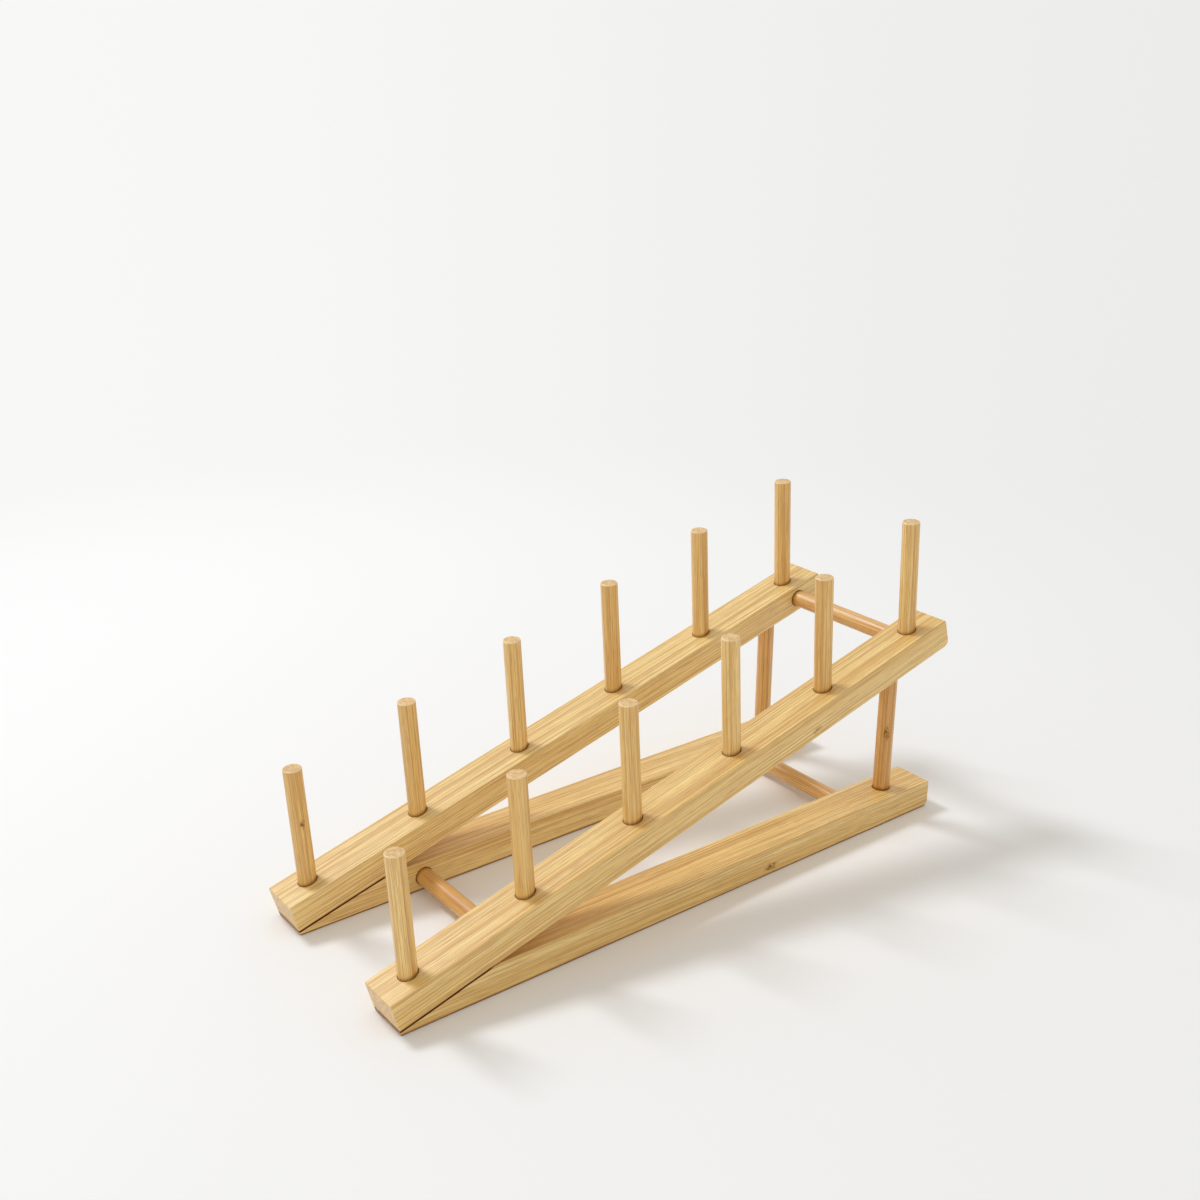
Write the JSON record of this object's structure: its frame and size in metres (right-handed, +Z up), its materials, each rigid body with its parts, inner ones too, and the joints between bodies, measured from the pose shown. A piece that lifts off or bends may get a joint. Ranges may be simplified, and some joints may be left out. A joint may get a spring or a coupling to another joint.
{
  "type": "plate rack",
  "caption": "Tabletop bamboo plate rack: wedge-shaped side frames with sloped, pegged rails, tied by cross dowels, that hold plates upright in a rising row.",
  "frame": {"origin": "on the table, below the middle of the rack's length and width", "axes": "+X from the low front end to the high back end, +Y from the right side frame to the left one, +Z up"},
  "size_m": [0.3774, 0.1284, 0.1816],
  "materials": {
    "bamboo_rail": "satin, lengthwise bamboo grain in laminated strips",
    "bamboo_dowel": "satin, turned bamboo with grain along the dowel",
    "screw_steel": "zinc plated"
  },
  "bodies": {
    "root": {"right_slope_rail": "bamboo_rail", "left_slope_rail": "bamboo_rail", "right_base_rail": "bamboo_rail", "left_base_rail": "bamboo_rail", "right_peg_1": "bamboo_dowel", "right_peg_2": "bamboo_dowel", "right_peg_3": "bamboo_dowel", "right_peg_4": "bamboo_dowel", "right_peg_5": "bamboo_dowel", "right_peg_6": "bamboo_dowel", "left_peg_1": "bamboo_dowel", "left_peg_2": "bamboo_dowel", "left_peg_3": "bamboo_dowel", "left_peg_4": "bamboo_dowel", "left_peg_5": "bamboo_dowel", "left_peg_6": "bamboo_dowel", "right_post": "bamboo_dowel", "left_post": "bamboo_dowel", "front_cross_dowel": "bamboo_dowel", "rear_cross_dowel": "bamboo_dowel", "upper_cross_dowel": "bamboo_dowel", "front_screws": "screw_steel"}
  },
  "joints": []
}
